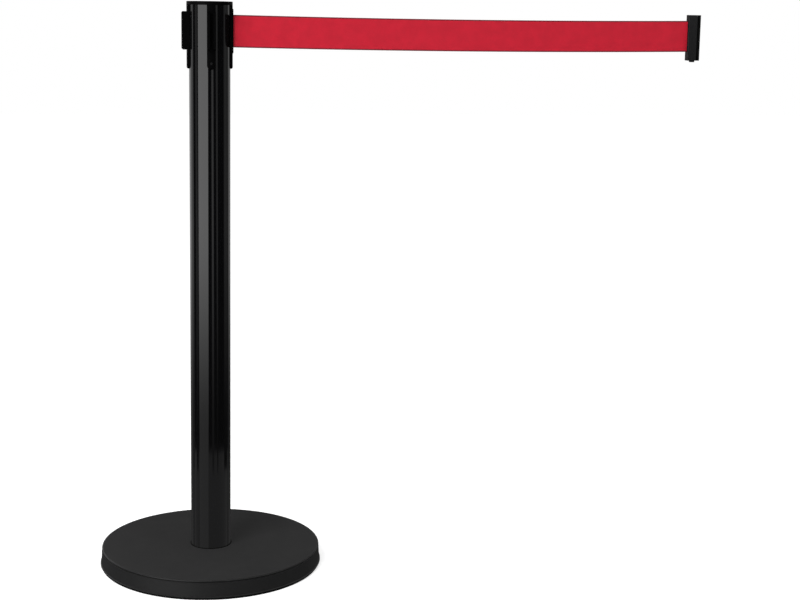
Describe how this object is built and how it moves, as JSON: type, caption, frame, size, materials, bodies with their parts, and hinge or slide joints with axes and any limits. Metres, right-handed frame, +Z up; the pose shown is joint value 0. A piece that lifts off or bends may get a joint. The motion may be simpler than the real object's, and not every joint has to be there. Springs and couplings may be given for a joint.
{
  "type": "retractable belt stanchion",
  "caption": "Weighted black post with a retractable red belt wound in its head, a locking belt clip and receivers for other belts.",
  "frame": {"origin": "on the floor under the post's axis", "axes": "+Z up the post; +X along the drawn-out belt, from the post to the clip; the front of the stanchion faces -Y"},
  "size_m": [0.9732, 0.3544, 0.9],
  "materials": {
    "rubber": "matte black rubber",
    "cast_iron": "rough casting",
    "base_paint": "satin black powder coat",
    "post_paint": "gloss black lacquer",
    "zinc_steel": "zinc plated",
    "bright_steel": "polished steel",
    "black_steel": "blackened screw",
    "spring_steel": "blue-grey spring steel",
    "bronze": "sintered bronze",
    "belt_fabric": "red woven polyester webbing",
    "black_moulding": "fine-textured black nylon",
    "inner_moulding": "plain dark moulding",
    "clip_moulding": "textured black nylon"
  },
  "bodies": {
    "post": {"floor_ring": "rubber", "base_weight": "cast_iron", "base_cover": "base_paint", "base_bolt": "zinc_steel", "spring_washer": "zinc_steel", "base_washer": "zinc_steel", "foot_gasket": "rubber", "foot_plug": "zinc_steel", "post_tube": "post_paint", "receiver_front": "black_moulding", "receiver_left": "black_moulding", "receiver_back": "black_moulding", "outlet_guide": "black_moulding", "strip_screws": "black_steel", "cassette_housing": "inner_moulding", "spring_cover": "inner_moulding", "cassette_lid": "inner_moulding", "cassette_screws": "zinc_steel", "guide_pins": "bright_steel", "lower_bush": "bronze", "upper_bush": "bronze", "power_spring": "spring_steel", "belt_lead": "belt_fabric", "head_cap": "black_moulding", "cap_screws": "black_steel"},
    "spool": {"spool": "inner_moulding", "arbor": "bright_steel", "belt_roll": "belt_fabric"},
    "belt_near": {"belt_near": "belt_fabric"},
    "belt_middle": {"belt_middle": "belt_fabric"},
    "belt_far": {"belt_far": "belt_fabric"},
    "clip": {"clip_body": "clip_moulding", "clip_cover": "clip_moulding", "clip_screws": "black_steel", "belt_pin": "bright_steel", "belt_hem": "belt_fabric", "lock_spring": "spring_steel"},
    "lock": {"lock_tab": "clip_moulding"}
  },
  "joints": [
    {"name": "belt_pull", "type": "slide", "parent": "post", "child": "clip", "axis": [1, 0, 0], "range_m": [-0.73, 1.26]},
    {"name": "spool_spin", "type": "hinge", "parent": "post", "child": "spool", "pos_m": [0, 0, 0.855], "axis": [0, 0, 1], "range_deg": [-2136, 3684], "deforming": ["power_spring", "belt_roll", "belt_lead"]},
    {"name": "belt_near_pull", "type": "slide", "parent": "post", "child": "belt_near", "axis": [1, 0, 0], "range_m": [-0.2465, 0.4205], "deforming": ["belt_near"]},
    {"name": "belt_middle_pull", "type": "slide", "parent": "belt_near", "child": "belt_middle", "axis": [1, 0, 0], "range_m": [-0.2465, 0.4205], "deforming": ["belt_middle"]},
    {"name": "belt_far_pull", "type": "slide", "parent": "clip", "child": "belt_far", "axis": [1, 0, 0], "range_m": [-0.4205, 0.2465], "deforming": ["belt_far"]},
    {"name": "lock_press", "type": "slide", "parent": "clip", "child": "lock", "axis": [0, 0, 1], "range_m": [0, 0.0025], "stiffness_N_per_m": 600, "springref_m": -0.001, "deforming": ["lock_spring"]}
  ],
  "couplings": [
    {"joint": "spool_spin", "follows": "belt_pull", "rad_per_m": 51},
    {"joint": "belt_near_pull", "follows": "belt_pull", "ratio": 0.33333},
    {"joint": "belt_middle_pull", "follows": "belt_pull", "ratio": 0.33333},
    {"joint": "belt_far_pull", "follows": "belt_pull", "ratio": -0.33333}
  ]
}
